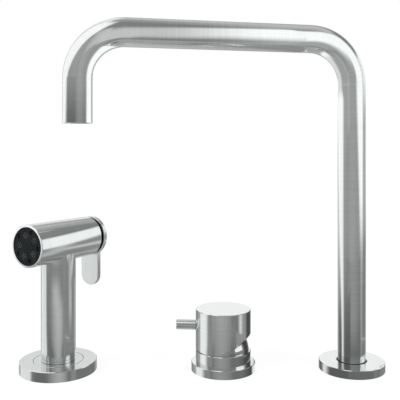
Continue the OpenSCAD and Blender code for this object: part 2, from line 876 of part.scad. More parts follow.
// Front half of the valve: inlet chamber over the riser, seat, and chamber behind the face.
module valve_housing() {
  front = face_back + seat_gap;
  color(black) at_spray() difference() {
    along_head() translate([0, 0, front]) cylinder(r = plug_r, h = plug_x - front);
    along_head() translate([0, 0, -inlet_half]) cylinder(r = chamber_r, h = far);
    along_head() translate([0, 0, -far]) cylinder(r = seat_r, h = far);
    along_head() translate([0, 0, seat_x - far]) cylinder(r = front_chamber_r, h = far);
    along_head() translate([0, 0, front - over]) cylinder(r = mouth_chamber_r, h = mouth_chamber_len + over);
    translate([0, 0, head_z - far]) cylinder(r = hose_way_r - edge / 2, h = far);
    translate([0, 0, head_z - far - plug_r + riser_socket]) cylinder(r = riser_r + seat_gap, h = far);
  }
}

// A shaft along the trigger's hinge.
module hinge_shaft(r, len) {
  translate([hinge_x, len / 2, head_z + hinge_h]) rotate([90, 0, 0]) cylinder(r = r, h = len);
}

// Rear half of the valve. Its end is cut to a wedge that gives the trigger plate room to swing.
module rear_plug() {
  end_x = plate_x - move_gap;
  color(black) at_spray() difference() {
    along_head() translate([0, 0, plug_x + seat_gap]) cylinder(r = plug_r, h = end_x - plug_x - seat_gap);
    along_head() translate([0, 0, plug_x - over]) cylinder(r = rod_r + run_gap, h = far);
    along_head() translate([0, 0, plug_x - over]) cylinder(r = gland_r, h = gland_len + over);
    translate([end_x, 0, head_z + hinge_h]) rotate([0, squeeze, 0])
      translate([0, -far / 2, -far]) cube([far, far, far]);
    for (side = [-1, 1])
      translate([hinge_x - ear_r - move_gap, side * (ear_in + ear_t / 2) - ear_t / 2 - move_gap,
                 head_z + hinge_h - pocket_down])
        cube([far, ear_t + 2 * move_gap, pocket_down + pocket_up]);
    hinge_shaft(hinge_pin_r + seat_gap / 2, far);
  }
}

module plunger_seal() {
  color(rubber) at_spray() along_head()
    o_ring(rod_r + run_gap / 2 + rod_wire, rod_wire, plug_x + gland_len - rod_wire - seat_gap);
}

// Rod from the trigger plate to the valve's head, with a rounded tip.
module valve_plunger() {
  tip_x = plate_x - move_gap / 2;
  head_back = seat_x - seat_gap - valve_seal_t - seat_gap;
  color(brass) at_spray() along_head() {
    translate([0, 0, tip_x - rod_r]) intersection() {
      sphere(rod_r);
      cylinder(r = far, h = far);
    }
    translate([0, 0, head_back]) cylinder(r = rod_r, h = tip_x - rod_r - head_back);
    translate([0, 0, head_back - valve_head_t]) cylinder(r = valve_head_r, h = valve_head_t);
  }
}

module valve_seal() {
  color(rubber) at_spray() along_head()
    ring(rod_r + seat_gap, valve_head_r, seat_x - seat_gap - valve_seal_t, seat_x - seat_gap);
}

// One unbroken round wire wound into a coil that rises from 0 to len.
module coil(mean_r, wire_r, len, turns, steps = 18, sides = 6) {
  count = turns * steps;
  lead = atan(len / (2 * PI * mean_r * turns));
  points = [
    for (i = [0:count], j = [0:sides - 1])
      let (a = 360 * i / steps, b = 360 * j / sides, out = wire_r * cos(b), up = wire_r * sin(b))
        [(mean_r + out) * cos(a) + up * sin(lead) * sin(a),
         (mean_r + out) * sin(a) - up * sin(lead) * cos(a),
         len * i / count + up * cos(lead)]
  ];
  sleeve = [
    for (i = [0:count - 1], j = [0:sides - 1])
      let (p = i * sides + j, q = i * sides + (j + 1) % sides)
        each [[p, p + sides, q], [q, p + sides, q + sides]]
  ];
  first_end = [for (j = [1:sides - 2]) [0, j, j + 1]];
  last_end = [for (j = [1:sides - 2]) [count * sides, count * sides + j + 1, count * sides + j]];
  polyhedron(points, concat(sleeve, first_end, last_end));
}

// Pushes the plunger back on its seat.
module valve_spring() {
  head_front_x = seat_x - 2 * seat_gap - valve_seal_t - valve_head_t;
  low = face_back + boss_len + spring_wire + seat_gap;
  high = head_front_x - spring_wire - seat_gap;
  color(steel) at_spray() along_head() translate([0, 0, low]) coil(spring_r, spring_wire, high - low, spring_turns);
}

// A place on the face, at a radius and an angle as seen from the front.
module on_face(r, angle) {
  translate([-r * sin(angle), -r * cos(angle), 0]) children();
}

// Black plate with a ring of dimples and clusters of nozzles between them.
module spray_face() {
  first_dimple = 68;
  step = 360 / face_count;
  groove_x = face_x + face_t / 2;
  color(black) at_spray() along_head() difference() {
    union() {
      translate([0, 0, face_x]) cylinder(r = plug_r, h = face_t);
      translate([0, 0, face_back - seat_gap]) cylinder(r = spring_boss_r, h = boss_len + seat_gap);
    }
    ring(plug_r - 2 * face_wire, plug_r + over, groove_x - face_wire - seat_gap, groove_x + face_wire + seat_gap);
    for (k = [0:face_count - 1]) {
      on_face(dimple_pitch_r, first_dimple + k * step)
        translate([0, 0, face_x - over]) cylinder(r = dimple_r, h = over + face_t / 4);
      on_face(cluster_pitch_r, first_dimple + (k + 0.5) * step) {
        translate([0, 0, face_x - over]) cylinder(r = nozzle_r, h = face_t + 2 * over);
        for (a = [0:60:300])
          on_face(nozzle_pitch, a) translate([0, 0, face_x - over]) cylinder(r = nozzle_r, h = face_t + 2 * over);
      }
    }
  }
}

module face_seal() {
  color(rubber) at_spray() along_head() o_ring(plug_r + seat_gap / 2 - face_wire, face_wire, face_x + face_t / 2);
}

// One plate: a disc behind the head, a tab that hangs from it, and two ears for the pin.
module trigger_plate() {
  half = tab_w / 2;
  color(steel) at_spray() difference() {
    union() {
      translate([plate_x, 0, head_z]) rotate([0, 90, 0]) edged_disc(head_r);
      translate([plate_x, 0, head_z + tab_end_h]) rotate([0, 90, 0]) edged_disc(half);
      translate([plate_x, 0, head_z + tab_end_h]) linear_extrude(-tab_end_h) polygon([
        [0, edge - half], [edge, -half], [plate_t - edge, -half], [plate_t, edge - half],
        [plate_t, half - edge], [plate_t - edge, half], [edge, half], [0, half - edge]
      ]);
      for (side = [-1, 1])
        translate([0, side * (ear_in + ear_t / 2) + ear_t / 2, head_z + hinge_h]) rotate([90, 0, 0])
          linear_extrude(ear_t) union() {
            translate([hinge_x, 0]) circle(ear_r);
            translate([hinge_x, -ear_r]) square([plate_x + edge - hinge_x, 2 * ear_r]);
          }
    }
    hinge_shaft(hinge_pin_r + run_gap, 2 * (ear_in + ear_t + over));
  }
}

// A disc as thick as the trigger plate, with both rims broken.
module edged_disc(r) {
  turned([[0, 0], [r - edge, 0], [r, edge], [r, plate_t - edge], [r - edge, plate_t], [0, plate_t]]);
}

module trigger_pin() {
  color(steel) at_spray() hinge_shaft(hinge_pin_r, hinge_pin_len);
}

// The three places of the clamping pieces, at the worktop's lower face.
module at_shanks() {
  for (x = [0, mixer_x, spray_x]) translate([-x, 0, -deck_t]) children();
}

module clamping_gaskets() {
  color(rubber) at_shanks() ring(clamp_hole_r, clamp_r, -gasket_t, 0);
}

module clamping_washers() {
  color(steel) at_shanks() translate([0, 0, -gasket_t]) ring(clamp_hole_r, clamp_r, -washer_t, 0);
}

module clamping_nuts() {
  corner_r = nut_flats / 2 / cos(30);
  color(brass) at_shanks() translate([0, 0, -gasket_t - washer_t - nut_t]) difference() {
    cylinder(r = corner_r, h = nut_t, $fn = 6);
    translate([0, 0, -over]) cylinder(r = shank_r + seat_gap, h = nut_t + 2 * over);
  }
}

spout_tube();
foot_sleeve();
thrust_bush();
guide_bush();
spout_screw();
aerator_housing();
aerator_insert();
aerator_seal();
spout_base();
spout_spigot();
spout_flange();
spout_o_rings();
spout_base_seal();
mixer_body();
mixer_flange();
mixer_base_seal();
dome_cover();
cartridge_housing();
cartridge_base();
port_seals();
fixed_disc();
cartridge_nut();
moving_disc();
disc_driver();
cartridge_carrier();
cross_pin();
cartridge_spindle();
lever_cap();
lever_pin();
lever_screw();
spray_flange();
spray_holder();
holder_liner();
spray_base_seal();
hose_connector();
swivel_ring();
swivel_o_ring();
spray_body();
stem_foot();
riser_tube();
valve_housing();
rear_plug();
plunger_seal();
valve_plunger();
valve_seal();
valve_spring();
spray_face();
face_seal();
trigger_plate();
trigger_pin();
clamping_gaskets();
clamping_washers();
clamping_nuts();
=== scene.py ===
# %% [markdown]
# # A kitchen tap set in satin steel
# The set has three units that stand in a row on a worktop: a hand spray in its holder, a low
# mixer with a round cap for a lever, and a tall spout of bent tube. Their shapes come from a
# measured CAD model, so this lesson is about what the CAD model lacks: the finish of each
# surface, the small rubber nozzles of the spray, and the light that makes steel look like steel.

# %% Loading the measured model
import json
import math

import bmesh
import bpy
from mathutils import Matrix, Vector


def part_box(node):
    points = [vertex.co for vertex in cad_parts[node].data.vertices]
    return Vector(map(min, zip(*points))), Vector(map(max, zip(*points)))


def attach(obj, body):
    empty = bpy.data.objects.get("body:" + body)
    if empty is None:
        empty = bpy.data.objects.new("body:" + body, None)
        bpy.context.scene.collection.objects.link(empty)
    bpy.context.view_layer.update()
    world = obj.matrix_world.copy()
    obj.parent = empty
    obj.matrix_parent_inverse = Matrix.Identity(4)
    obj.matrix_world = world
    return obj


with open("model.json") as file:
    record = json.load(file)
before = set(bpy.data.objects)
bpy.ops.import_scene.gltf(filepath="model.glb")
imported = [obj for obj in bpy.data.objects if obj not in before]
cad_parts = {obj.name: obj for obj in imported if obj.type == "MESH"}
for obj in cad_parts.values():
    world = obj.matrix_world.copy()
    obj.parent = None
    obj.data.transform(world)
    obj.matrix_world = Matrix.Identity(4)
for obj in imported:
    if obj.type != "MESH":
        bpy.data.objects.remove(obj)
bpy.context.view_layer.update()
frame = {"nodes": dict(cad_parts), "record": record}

nodes = frame["nodes"]

# %% [markdown]
# The finishes and the nozzles need to know where the main axes stand. Each unit is round, so
# the middle of its flange's box is its axis. The three turned angles, of the arm, the mixer's pin
# and the spray's head, and the few sizes are the ones that the CAD model was drawn with.

# %% Where the units stand
MM = 0.001
ARM_TURN = math.radians(11)
PIN_TURN = math.radians(-5)
HEAD_TURN = math.radians(58)
TUBE_RADIUS = 12.5 * MM
STEM_RADIUS = 15.5 * MM
HEAD_RADIUS = 18.5 * MM
PIN_HEIGHT = 39.2 * MM
SET_MIDDLE = -130 * MM    # along x, where the middle of the row is


def axis_of(node):
    """The middle of a node's box, at the height of the worktop."""
    low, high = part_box(node)
    return (low.x + high.x) / 2, (low.y + high.y) / 2, 0


spout_axis = axis_of("spout_flange")
mixer_axis = axis_of("mixer_flange")
spray_axis = axis_of("spray_flange")
head_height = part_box("spray_body")[1].z - HEAD_RADIUS
print("spout", spout_axis, "mixer", mixer_axis, "spray", spray_axis, "head", round(head_height, 4))

# %% [markdown]
# ## Writing shader maths as sums
# A brushed finish needs dozens of Math nodes. Wiring them by hand hides what they mean, so a small
# class wraps an output socket and overloads the operators: `1 - mask * 0.3` then adds the nodes
# by itself. A second class holds the node tree and has the one method that adds a node.


# %% A socket that can be calculated with
class Signal:
    """The output socket of a node, with the sums that can be done on it."""

    def __init__(self, sheet, socket):
        self.sheet = sheet
        self.socket = socket

    def math(self, operation, *values):
        return self.sheet.add("ShaderNodeMath", {"operation": operation}, dict(enumerate(values)))

    def __add__(self, other):
        return self.math("ADD", self, other)

    def __sub__(self, other):
        return self.math("SUBTRACT", self, other)

    def __rsub__(self, other):
        return self.math("SUBTRACT", other, self)

    def __mul__(self, other):
        return self.math("MULTIPLY", self, other)

    def __truediv__(self, other):
        return self.math("DIVIDE", self, other)

    def __rtruediv__(self, other):
        return self.math("DIVIDE", other, self)

    def __abs__(self):
        return self.math("ABSOLUTE", self)

    __radd__ = __add__
    __rmul__ = __mul__

    def root(self):
        return self.math("SQRT", self)

    def least(self, other):
        return self.math("MINIMUM", self, other)

    def most(self, other):
        return self.math("MAXIMUM", self, other)

    def wrap(self, low, high):
        return self.math("WRAP", self, high, low)

    def angle(self, other):
        """The angle whose sine goes with this signal and whose cosine goes with the other."""
        return self.math("ARCTAN2", self, other)

    def rise(self, low, high):
        """0 below low, 1 above high, and a smooth slope between them."""
        settings = {"interpolation_type": "SMOOTHSTEP"}
        values = {"Value": self, "From Min": low, "From Max": high}
        return self.sheet.add("ShaderNodeMapRange", settings, values)

    def fall(self, low, high):
        """1 below low and 0 above high."""
        return 1 - self.rise(low, high)

    def band(self, low, high, blur):
        """1 between low and high, and 0 outside, with blurred edges."""
        return self.rise(low - blur, low + blur) * self.fall(high - blur, high + blur)

    def towards(self, other, share):
        """This signal where the share is 0, and the other where it is 1."""
        return self + (other - self) * share


class Sheet:
    """A node tree to write on."""

    def __init__(self, owner):
        owner.use_nodes = True
        self.tree = owner.node_tree
        self.tree.nodes.clear()

    def add(self, kind, settings=None, values=None, out=0):
        """Adds a node, sets it up, fills its sockets and gives back one of its outputs."""
        node = self.tree.nodes.new(kind)
        for name, value in (settings or {}).items():
            setattr(node, name, value)
        for name, value in (values or {}).items():
            if isinstance(value, Signal):
                self.tree.links.new(value.socket, node.inputs[name])
            else:
                node.inputs[name].default_value = value
        return Signal(self, node.outputs[out]) if node.outputs else None

    def blend(self, factor, first, second):
        """A colour between two others."""
        values = {"Factor": factor, "A": first, "B": second}
        return self.add("ShaderNodeMix", {"data_type": "RGBA"}, values, 2)

    def glow(self, strength):
        """White light of its own, at which a strength of 1 is white."""
        return self.add("ShaderNodeEmission", None, {"Color": (1, 1, 1, 1), "Strength": strength})

    def end(self, surface, kind="ShaderNodeOutputMaterial"):
        self.add(kind, None, {"Surface": surface})


print("signals and sheets are ready")

# %% [markdown]
# ## The grain of a brushed surface
# Satin steel is brushed with a fine belt. The belt leaves scratches that all run one way: round
# the tube on the tubes, and round the axis on the turned rings and the cap. Across the scratches
# the surface changes within a fraction of a millimetre, and along them it hardly changes. So a
# noise that is stretched along the scratches draws them: its first coordinate is the distance
# across them, its second the way along them, squeezed.
#
# The scratches tilt the surface a little, which a bump gives, and change how sharply it mirrors,
# which the roughness gives. The colour changes least. Object coordinates are in metres and stay
# with the piece when it moves.


# %% The scratches
SATIN_LIGHT = (0.745, 0.77, 0.76)
SATIN_DARK = (0.685, 0.71, 0.70)


def scratches(sheet, across, along, per_metre, stretch, detail=3.0):
    """A noise from 0 to 1 in lines. across and along are distances in metres."""
    lines = {0: across * per_metre, 1: along * (per_metre / stretch)}
    place = sheet.add("ShaderNodeCombineXYZ", None, lines)
    values = {"Vector": place, "Scale": 1.0, "Detail": detail, "Roughness": 0.55}
    return sheet.add("ShaderNodeTexNoise", {"noise_dimensions": "2D"}, values)


def local_axes(sheet, origin, turn):
    """x, y and z of the piece, measured from a unit's axis and turned with it."""
    place = sheet.add("ShaderNodeTexCoord", None, None, "Object")
    values = {"Vector": place, "Location": origin, "Rotation": (0, 0, turn)}
    place = sheet.add("ShaderNodeMapping", {"vector_type": "TEXTURE"}, values)
    return [sheet.add("ShaderNodeSeparateXYZ", None, {0: place}, axis) for axis in "XYZ"]


def brushed(name, paths, rough=0.13, seam=None):
    """Satin steel. paths(sheet) gives the distances across and along the scratches. A seam is the
    axis of a unit and the inner and outer radius of a thin dark ring of painted shade round it,
    where the gap round what comes through the flange lies in shade."""
    material = bpy.data.materials.new(name)
    sheet = Sheet(material)
    across, along = paths(sheet)
    # each layer: how many to the metre, and how many times longer than wide
    fine = scratches(sheet, across, along, 2600, 60)
    coarse = scratches(sheet, across, along, 420, 14)
    cloud = scratches(sheet, across, along, 45, 1.5)
    tick = scratches(sheet, across, along, 130, 9, 1.0).rise(0.70, 0.78)
    tone = fine * 0.5 + coarse * 0.35 + cloud * 0.15
    colour = sheet.blend(tone.rise(0.3, 0.7), (*SATIN_DARK, 1), (*SATIN_LIGHT, 1))
    if seam:
        axis, inner, outer = seam
        x, y, z = local_axes(sheet, axis, 0)
        # painted shade: a thin dark ring on the flange's top, where the gap round the column lies in
        # shade
        painted_gap_shade = (x * x + y * y).root().band(inner, outer, 0.1 * MM)
        colour = sheet.blend(painted_gap_shade * 0.85, colour, (0.10, 0.10, 0.10, 1))
    height = fine * 0.6 + coarse * 0.4 - tick * 0.5
    values = {"Strength": 0.11, "Distance": 0.04 * MM, "Height": height}
    bump = sheet.add("ShaderNodeBump", None, values)
    values = {
        "Base Color": colour, "Metallic": 1.0, "Normal": bump,
        "Roughness": rough + (fine - 0.5) * 0.06 + (cloud - 0.5) * 0.02 + tick * 0.05,
    }
    sheet.end(sheet.add("ShaderNodeBsdfPrincipled", None, values))
    return material


print("the brushed finish is ready")

# %% [markdown]
# ## Which way the scratches run
# On a turned ring they run round the axis, both on its side and on its flat top. The height
# changes across them on the side, and the distance from the axis changes across them on the top,
# so the sum of the two serves for both.
#
# The spout's tube is brushed round itself all the way. Its length coordinate has to follow the
# bends: straight up the leg, round the first bend, along the arm, round the second bend and down.
# Each bend turns about a known centre, so the angle about that centre, times the bend's radius,
# is the distance gone.

# %% Turned pieces
# An angle times one of these is about the distance round a flange, or round the pin.
ROUND_FLANGE = 20 * MM
ROUND_PIN = 5 * MM


def turned_paths(origin, turn=0.0):
    """Round an upright axis."""
    def paths(sheet):
        x, y, z = local_axes(sheet, origin, turn)
        radius = (x * x + y * y).root()
        return z + radius, y.angle(x) * ROUND_FLANGE
    return paths


def pin_paths(sheet):
    """Round the pin's own axis, which lies level."""
    x, y, z = local_axes(sheet, mixer_axis, PIN_TURN)
    z = z - PIN_HEIGHT
    return (y * y + z * z).root() - x, y.angle(z) * ROUND_PIN


def plate_paths(sheet):
    """The trigger plate is brushed straight, from its top to the tip of its tab."""
    x, y, z = local_axes(sheet, spray_axis, HEAD_TURN)
    return y + x, z


def spray_paths(sheet):
    """Round the stem below, and round the head's own axis above."""
    x, y, z = local_axes(sheet, spray_axis, HEAD_TURN)
    z = z - head_height
    head_distance = (y * y + z * z).root()
    on_head = head_distance.fall(HEAD_RADIUS + 0.05 * MM, HEAD_RADIUS + 0.15 * MM)
    stem_radius = (x * x + y * y).root()
    across = (z + stem_radius).towards(x + head_distance, on_head)
    along = (y.angle(x) * STEM_RADIUS).towards(y.angle(z) * HEAD_RADIUS, on_head)
    return across, along


print("paths for the turned pieces, the pin, the plate and the spray are ready")

# %% The bent tube
BEND_RADIUS = 40 * MM
ARM_REACH = 245 * MM
HAIR = 0.01 * MM    # so short a rise is a sharp step
arm_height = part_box("spout_tube")[1].z - TUBE_RADIUS
bend_height = arm_height - BEND_RADIUS


def tube_paths(sheet):
    """The way gone along the tube's middle line, and the distance to its side."""
    x, y, z = local_axes(sheet, spout_axis, ARM_TURN)
    out = x * -1
    first_x, first_z = out - BEND_RADIUS, z - bend_height
    second_x = out - (ARM_REACH - BEND_RADIUS)
    quarter = BEND_RADIUS * math.pi / 2
    first = bend_height + first_z.angle(first_x * -1) * BEND_RADIUS
    arm = bend_height + quarter + first_x
    second_start = bend_height + quarter + ARM_REACH - 2 * BEND_RADIUS
    second = second_start + second_x.angle(first_z) * BEND_RADIUS
    down = second_start + quarter - first_z
    high = first_z.rise(-HAIR, HAIR)
    past_first = first_x.rise(-HAIR, HAIR)
    past_second = second_x.rise(-HAIR, HAIR)
    near = z.towards(first, high)
    far = down.towards(second, high)
    across = near.towards(arm, past_first * high).towards(far, past_second)
    return across, y


print("arm at", round(arm_height, 4), "bends start at", round(bend_height, 4))

# %% [markdown]
# Every satin piece gets a material of its own, because its scratches follow its own axis. The
# tops of two flanges carry a thin dark ring of painted shade round what comes up through them,
# where the gap lies in shade. The trigger plate is cut from sheet, and its finish is coarser.

# %% The satin pieces
satin = {
    "spout_tube": brushed("satin_tube", tube_paths, rough=0.14),
    "spout_flange": brushed("satin_spout_flange", turned_paths(spout_axis),
                            seam=(spout_axis, 12 * MM, 13.9 * MM)),
    "mixer_body": brushed("satin_mixer_body", turned_paths(mixer_axis)),
    "mixer_flange": brushed("satin_mixer_flange", turned_paths(mixer_axis)),
    "lever_cap": brushed("satin_cap", turned_paths(mixer_axis, PIN_TURN)),
    "lever_pin": brushed("satin_pin", pin_paths),
    "spray_flange": brushed("satin_spray_flange", turned_paths(spray_axis),
                            seam=(spray_axis, 21.8 * MM, 22.5 * MM)),
    "spray_holder": brushed("satin_spray_holder", turned_paths(spray_axis)),
    "spray_body": brushed("satin_spray", spray_paths),
    "trigger_plate": brushed("satin_trigger", plate_paths, rough=0.30),
}
print(len(satin), "satin pieces")

# %% [markdown]
# ## The plainer finishes
# Polished steel mirrors almost sharply, with a haze from the polishing wheel. The dome under the
# mixer's cap is a copy of it with a darker colour: painted shade for the dark room in front, which
# the dome mirrors. Brass that water runs through is left as the lathe made it, with turning marks.
# Washers, screws and springs have a dull grey. Plastic, rubber and ceramic aren't metal: their
# colour is their own, and their skin has a fine grain that breaks up the shine.


# %% Metals inside and below
def lathe_metal(name, light, dark, rough, marks, depth):
    """Turned metal with marks, so many to the metre of height, and slow patches of haze."""
    material = bpy.data.materials.new(name)
    sheet = Sheet(material)
    x, y, z = local_axes(sheet, (0, 0, 0), 0)
    line = scratches(sheet, z, x + y, marks, 400)
    patch = scratches(sheet, x + z, y, 160, 1.3)
    colour = sheet.blend((line * 0.5 + patch * 0.5).rise(0.3, 0.7), (*dark, 1), (*light, 1))
    values = {"Strength": depth, "Distance": 0.06 * MM, "Height": line}
    bump = sheet.add("ShaderNodeBump", None, values)
    values = {
        "Base Color": colour, "Metallic": 1.0, "Normal": bump,
        "Roughness": rough + (patch - 0.5) * 0.16 + (line - 0.5) * 0.08,
    }
    sheet.end(sheet.add("ShaderNodeBsdfPrincipled", None, values))
    return material


polished = lathe_metal("polished_steel", (0.82, 0.83, 0.83), (0.78, 0.79, 0.79),
                       rough=0.06, marks=1800, depth=0.04)
# painted shade: the dome is the polished steel made darker, for the dark room in front that it
# mirrors
dome = lathe_metal("dome_steel_painted_shade", (0.60, 0.61, 0.61), (0.54, 0.55, 0.55),
                   rough=0.06, marks=1800, depth=0.04)
plain = lathe_metal("plain_steel", (0.58, 0.59, 0.60), (0.46, 0.47, 0.48),
                    rough=0.34, marks=900, depth=0.25)
brass = lathe_metal("turned_brass", (0.80, 0.64, 0.33), (0.66, 0.50, 0.24),
                    rough=0.24, marks=1300, depth=0.3)
print("four plain metals are ready")


# %% Plastic, rubber and ceramic
def moulded(name, light, dark, rough, grain, depth, shine=0.5):
    """A moulded skin: slow changes of tone, and a fine grain in the bump."""
    material = bpy.data.materials.new(name)
    sheet = Sheet(material)
    place = sheet.add("ShaderNodeTexCoord", None, None, "Object")
    pores = sheet.add("ShaderNodeTexNoise", None, {"Vector": place, "Scale": grain, "Detail": 3.0})
    patch = sheet.add("ShaderNodeTexNoise", None, {"Vector": place, "Scale": 140.0, "Detail": 2.0})
    colour = sheet.blend(patch.rise(0.3, 0.7), (*dark, 1), (*light, 1))
    values = {"Strength": depth, "Distance": 0.05 * MM, "Height": pores}
    bump = sheet.add("ShaderNodeBump", None, values)
    values = {
        "Base Color": colour, "Normal": bump, "Roughness": rough + (pores - 0.5) * 0.2,
        "Specular IOR Level": shine,
    }
    sheet.end(sheet.add("ShaderNodeBsdfPrincipled", None, values))
    return material


black = moulded("black_plastic", (0.013, 0.016, 0.017), (0.008, 0.010, 0.011),
                rough=0.48, grain=2600.0, depth=0.35, shine=0.06)
nylon = moulded("white_nylon", (0.80, 0.80, 0.77), (0.74, 0.74, 0.70),
                rough=0.45, grain=1800.0, depth=0.25)
rubber = moulded("black_rubber", (0.035, 0.035, 0.037), (0.022, 0.022, 0.024),
                 rough=0.62, grain=2200.0, depth=0.4)
ceramic = moulded("lapped_ceramic", (0.84, 0.82, 0.77), (0.80, 0.78, 0.73),
                  rough=0.12, grain=4000.0, depth=0.05)
nozzle_rubber = moulded("nozzle_rubber", (0.062, 0.066, 0.069), (0.042, 0.046, 0.048),
                        rough=0.52, grain=3000.0, depth=0.3, shine=0.25)
print("five finishes that aren't metal are ready")

# %% [markdown]
# Each CAD piece names a slot in the model's record. The satin pieces and the dome have finishes
# of their own, and the rest takes the finish of its slot.

# %% Dressing the CAD pieces
finish_of_slot = {
    "polished_steel": polished, "plain_steel": plain, "brass": brass, "black_plastic": black,
    "white_plastic": nylon, "rubber": rubber, "ceramic": ceramic,
}
own_finish = {**satin, "dome_cover": dome}
for row in frame["record"]["subparts"]:
    node = row["node"]
    material = own_finish.get(node) or finish_of_slot[row["material_slot"]]
    piece = nodes[node]
    piece.data.materials.clear()
    piece.data.materials.append(material)
print("dressed", len(nodes), "pieces")

# %% [markdown]
# The worktop would keep the shanks and clamping rings out of the steel's reflections. The floor
# of this picture is left out of them too, further down, so the pieces that stay under the
# worktop are left out here. The two that also show above it stay.

# %% Pieces under the worktop
WELL_BELOW = -10 * MM
SHOW_ABOVE = ("mixer_body", "spray_holder")
for node, piece in nodes.items():
    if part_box(node)[0].z < WELL_BELOW and node not in SHOW_ABOVE:
        piece.visible_glossy = False
        print("not mirrored:", node)

# %% [markdown]
# ## The nozzles of the spray
# Water leaves the spray through soft rubber nozzles, which lime can be rubbed off. Each one is a
# tiny turned tube with a collar that tapers to its mouth, pushed into a hole of the face. One
# outline, spun once, makes a nozzle. It is copied to every hole: seven in each of five clusters,
# which sit between the five dimples near the rim. A spin of a few steps is enough, because a
# nozzle is only 1.6 mm wide.

# %% One nozzle, spun from its outline
FACE_FRONT = -37.0 * MM
CLUSTERS = 5
FACE_CIRCLE = 9.6 * MM
CLUSTER_CIRCLE = 2.1 * MM
FIRST_DIMPLE = 68    # degrees, where the first of the five dimples near the rim is

# Radius and depth in millimetres, round the section of the rubber wall.
OUTLINE = [
    (0.28, 1.5), (0.50, 1.5), (0.50, 0.0), (0.80, 0.0),
    (0.72, -0.18), (0.46, -0.40), (0.28, -0.40),
]


def spun_nozzle(work, steps=14):
    """A closed ring of faces round the X axis. The mouth points to -X."""
    verts = [work.verts.new((depth * MM, radius * MM, 0)) for radius, depth in OUTLINE]
    edges = [work.edges.new((a, b)) for a, b in zip(verts, verts[1:] + verts[:1])]
    bmesh.ops.spin(work, geom=verts + edges, cent=(0, 0, 0), axis=(1, 0, 0), dvec=(0, 0, 0),
                   angle=2 * math.pi, steps=steps, use_merge=True, use_duplicate=False)
    bmesh.ops.recalc_face_normals(work, faces=work.faces)


def on_face(radius, degrees):
    """A place on the face, at an angle as seen from the front."""
    angle = math.radians(degrees)
    return Vector((0, -radius * math.cos(angle), radius * math.sin(angle)))


def move(work, group, place):
    """Moves a group of vertices, edges and faces. Only its vertices need to go."""
    verts = [part for part in group if isinstance(part, bmesh.types.BMVert)]
    bmesh.ops.translate(work, vec=place, verts=verts)


print("a nozzle has", len(OUTLINE), "points round its wall")

# %% The nozzles on the face
places = []
for k in range(CLUSTERS):
    middle = on_face(FACE_CIRCLE, FIRST_DIMPLE + (k + 0.5) * 360 / CLUSTERS)
    places.append(middle)
    places += [middle + on_face(CLUSTER_CIRCLE, degrees) for degrees in range(0, 360, 60)]

work = bmesh.new()
spun_nozzle(work)
first = work.verts[:] + work.edges[:] + work.faces[:]
for place in places[1:]:
    move(work, bmesh.ops.duplicate(work, geom=first)["geom"], place)
move(work, first, places[0])
to_head = (Matrix.Translation(Vector(spray_axis)) @ Matrix.Rotation(HEAD_TURN, 4, "Z")
           @ Matrix.Translation((FACE_FRONT, 0, head_height)))
bmesh.ops.transform(work, matrix=to_head, verts=work.verts)
mesh = bpy.data.meshes.new("spray_nozzles")
work.to_mesh(mesh)
work.free()
nozzles = bpy.data.objects.new("spray_nozzles", mesh)
bpy.context.scene.collection.objects.link(nozzles)
mesh.materials.append(nozzle_rubber)
for face in mesh.polygons:
    face.use_smooth = True
mesh.set_sharp_from_angle(angle=math.radians(35))
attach(nozzles, "spray")
print(len(places), "nozzles,", len(mesh.polygons), "faces")

# %% [markdown]
# ## The floor
# The set stands on a plain pale floor, which is the worktop. In the photograph it is pure white.
# A floor that is lit until it is white would burn out the steel as well, so most of its white is
# its own: the part of the shader that the camera sees gives white light, and a share of plain
# diffuse keeps the soft shadows. The share fades out further away, so no horizon shows.


# %% Floor
def ray_is_seen(sheet):
    """1 for rays of the camera and of mirroring or clear surfaces, and 0 for light."""
    camera = sheet.add("ShaderNodeLightPath", None, None, "Is Camera Ray")
    glossy = sheet.add("ShaderNodeLightPath", None, None, "Is Glossy Ray")
    clear = sheet.add("ShaderNodeLightPath", None, None, "Is Transmission Ray")
    return camera.most(glossy).most(clear)


FLOOR_RADIUS = 6.0
bpy.ops.mesh.primitive_circle_add(vertices=96, radius=FLOOR_RADIUS, fill_type="NGON",
                                  location=(0, 0, 0))
floor = bpy.context.object
floor.name = "floor"
material = bpy.data.materials.new("pale_floor")
sheet = Sheet(material)
x, y, z = local_axes(sheet, (SET_MIDDLE, 0, 0), 0)
distance = (x * x + y * y).root()
plain_floor = sheet.add("ShaderNodeBsdfDiffuse", None, {"Color": (0.90, 0.90, 0.90, 1)})
share = ray_is_seen(sheet) * (0.86 + distance.rise(0.35, 1.2) * 0.14)
values = {0: share, 1: plain_floor, 2: sheet.glow(1.0)}
surface = sheet.add("ShaderNodeMixShader", None, values)
sheet.end(surface)
floor.data.materials.append(material)
floor.visible_glossy = False
print("floor done")

# %% [markdown]
# ## The light tent
# Steel has no colour of its own to speak of: it shows its surroundings. A photographer therefore
# builds the surroundings. White cloths stand left and right, a lamp's cloth hangs in front and
# above, and the room behind the camera stays grey. Their mirror images are the long bright and
# grey bands along the tubes.
#
# Here the surroundings are painted on a large ball round the set, by direction. Only mirroring
# surfaces see the ball, so it neither blocks the lamps nor shows in the picture.


# %% Tent
TENT_MIDDLE = (SET_MIDDLE, 0, 120 * MM)
TENT_RADIUS = 4.0

